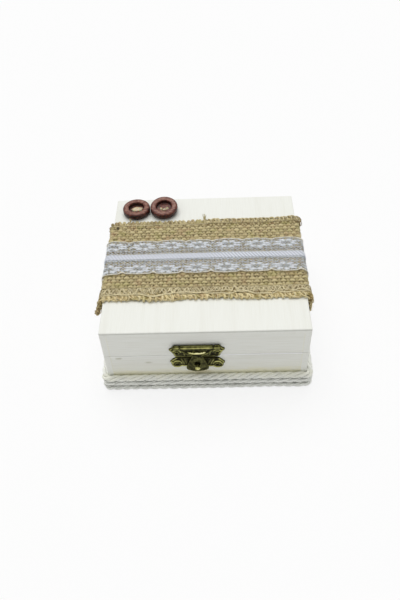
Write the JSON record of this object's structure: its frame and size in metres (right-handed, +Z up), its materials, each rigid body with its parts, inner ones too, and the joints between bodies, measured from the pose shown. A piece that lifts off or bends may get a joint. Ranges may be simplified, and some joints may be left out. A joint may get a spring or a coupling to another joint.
{
  "type": "keepsake box",
  "caption": "Small square wooden keepsake box with a hinged lid, burlap and lace bands, buttons, rope trim and a hasp latch.",
  "frame": {"origin": "middle of the underside of the base, on the surface the box stands on", "axes": "+Z up, -Y towards the front with the latch, +X to the right seen from the front"},
  "size_m": [0.11, 0.1068, 0.0475],
  "materials": {
    "pale_wood": "sanded, bare",
    "burlap": "open plain weave jute",
    "lace": "white floral lace",
    "satin": "white satin ribbon",
    "cotton_rope": "twisted cotton, cream",
    "antique_bronze": "stamped sheet, antiqued",
    "button_lacquer": "dark brown, glossy lacquer",
    "hot_glue": "set hot glue, cloudy"
  },
  "bodies": {
    "base": {"base_bottom_panel": "pale_wood", "base_front_wall": "pale_wood", "base_back_wall": "pale_wood", "base_left_wall": "pale_wood", "base_right_wall": "pale_wood", "rope_trim": "cotton_rope", "latch_lower_plate": "antique_bronze", "latch_lower_nails": "antique_bronze", "hinge_left_base_leaf": "antique_bronze", "hinge_right_base_leaf": "antique_bronze", "hinge_left_pin": "antique_bronze", "hinge_right_pin": "antique_bronze", "hinge_base_nails": "antique_bronze"},
    "lid": {"lid_top_panel": "pale_wood", "lid_front_wall": "pale_wood", "lid_back_wall": "pale_wood", "lid_left_wall": "pale_wood", "lid_right_wall": "pale_wood", "burlap_band": "burlap", "lace_ribbon": "lace", "satin_ribbon": "satin", "button_left": "button_lacquer", "button_right": "button_lacquer", "button_glue_left": "hot_glue", "button_glue_right": "hot_glue", "latch_upper_plate": "antique_bronze", "latch_upper_nails": "antique_bronze", "latch_hasp_pin": "antique_bronze", "hinge_left_lid_leaf": "antique_bronze", "hinge_right_lid_leaf": "antique_bronze", "hinge_lid_nails": "antique_bronze"},
    "hasp": {"latch_hasp": "antique_bronze"}
  },
  "joints": [
    {"name": "lid_hinge", "type": "hinge", "parent": "base", "child": "lid", "pos_m": [0, 0.0516, 0.0246], "axis": [-1, 0, 0], "range_deg": [0, 175]},
    {"name": "hasp_swing", "type": "hinge", "parent": "lid", "child": "hasp", "pos_m": [-0.0043, -0.0513, 0.032], "axis": [-1, 0, 0], "range_deg": [0, 165]}
  ]
}
